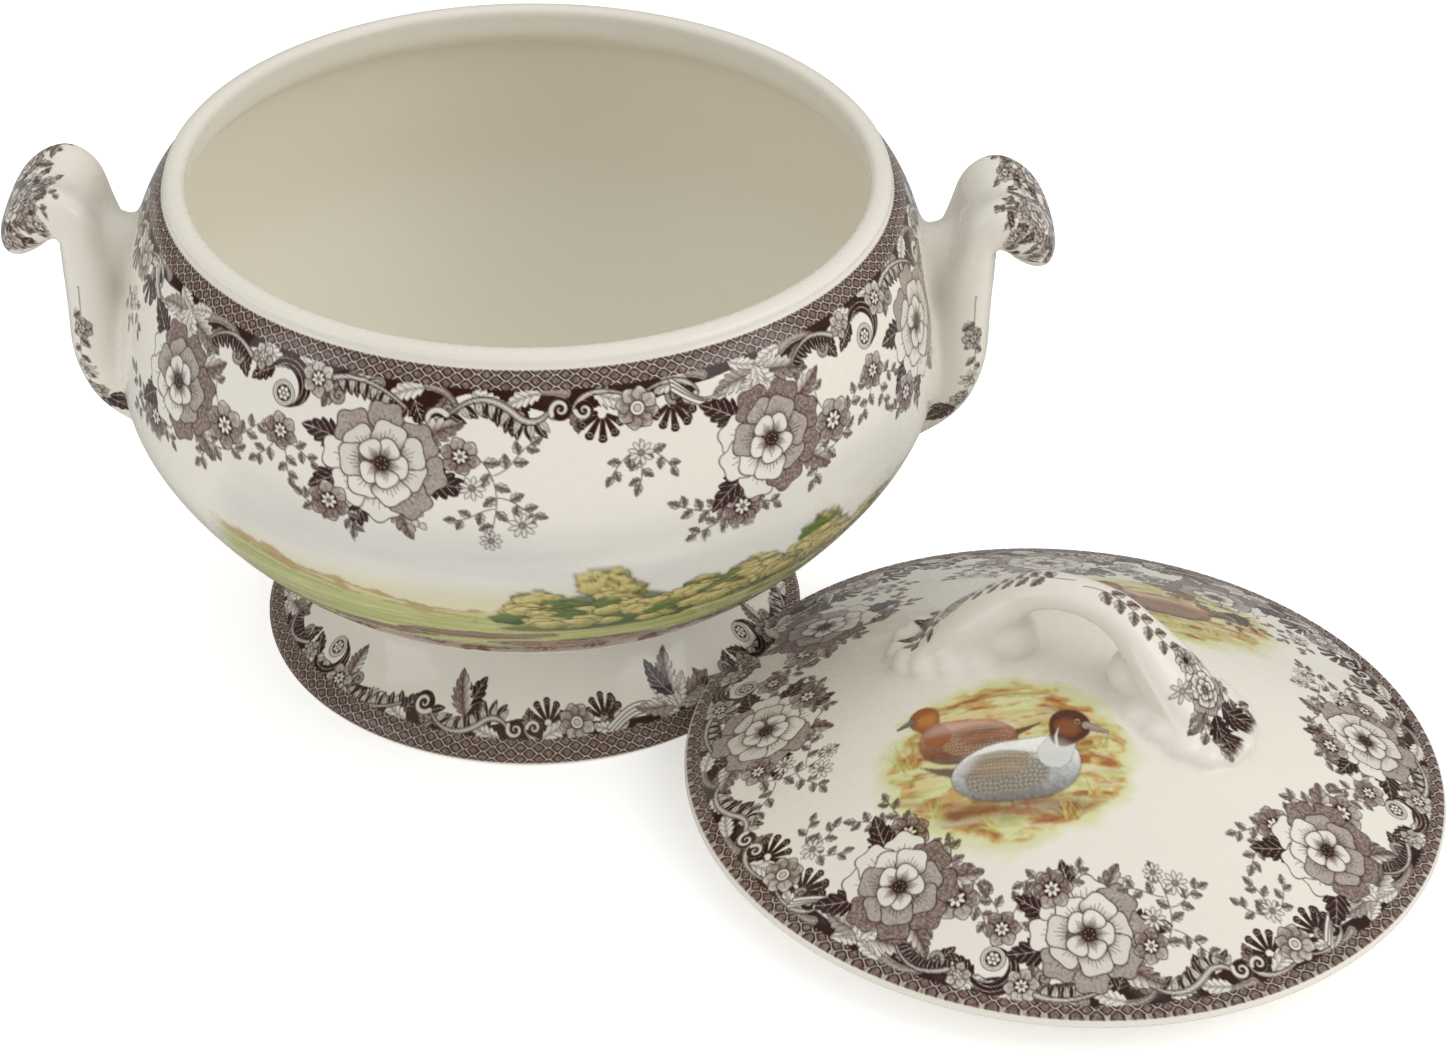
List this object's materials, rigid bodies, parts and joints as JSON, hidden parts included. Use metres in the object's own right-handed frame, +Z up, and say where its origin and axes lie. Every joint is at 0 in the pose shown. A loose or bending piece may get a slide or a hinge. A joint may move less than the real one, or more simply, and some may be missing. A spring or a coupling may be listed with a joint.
{
  "type": "soup tureen",
  "caption": "Round footed soup tureen with a pair of ear handles, a pedestal foot and a loose domed lid with a loop handle and a ladle notch.",
  "frame": {"origin": "middle of the bounding box of the whole set (open tureen and its lid beside it), on the table plane z = 0", "axes": "+Z up; X runs within 3 degrees of the line through the two handles; the lid lies on the +X, -Y side; the picture looks roughly along +Y"},
  "size_m": [0.5252, 0.3952, 0.1937],
  "materials": {
    "bowl_glaze": "warm ivory gloss glaze over a dark brown transfer-printed border and painted landscape",
    "foot_glaze": "warm ivory gloss glaze over a dark brown transfer-printed border",
    "handle_glaze": "warm ivory gloss glaze with small dark brown printed flower sprays",
    "lid_glaze": "warm ivory gloss glaze over a dark brown transfer-printed border and two painted vignettes",
    "lid_handle_glaze": "warm ivory gloss glaze with a dark brown printed leaf garland"
  },
  "bodies": {
    "tureen": {"tureen_bowl": "bowl_glaze", "pedestal_foot": "foot_glaze", "handle_left": "handle_glaze", "handle_right": "handle_glaze"},
    "lid": {"lid_cover": "lid_glaze", "lid_handle": "lid_handle_glaze"}
  },
  "joints": [
    {"name": "lid_lift", "type": "slide", "parent": "tureen", "child": "lid", "axis": [0.5638, -0.3087, 0.766], "range_m": [0, 0.25]}
  ]
}
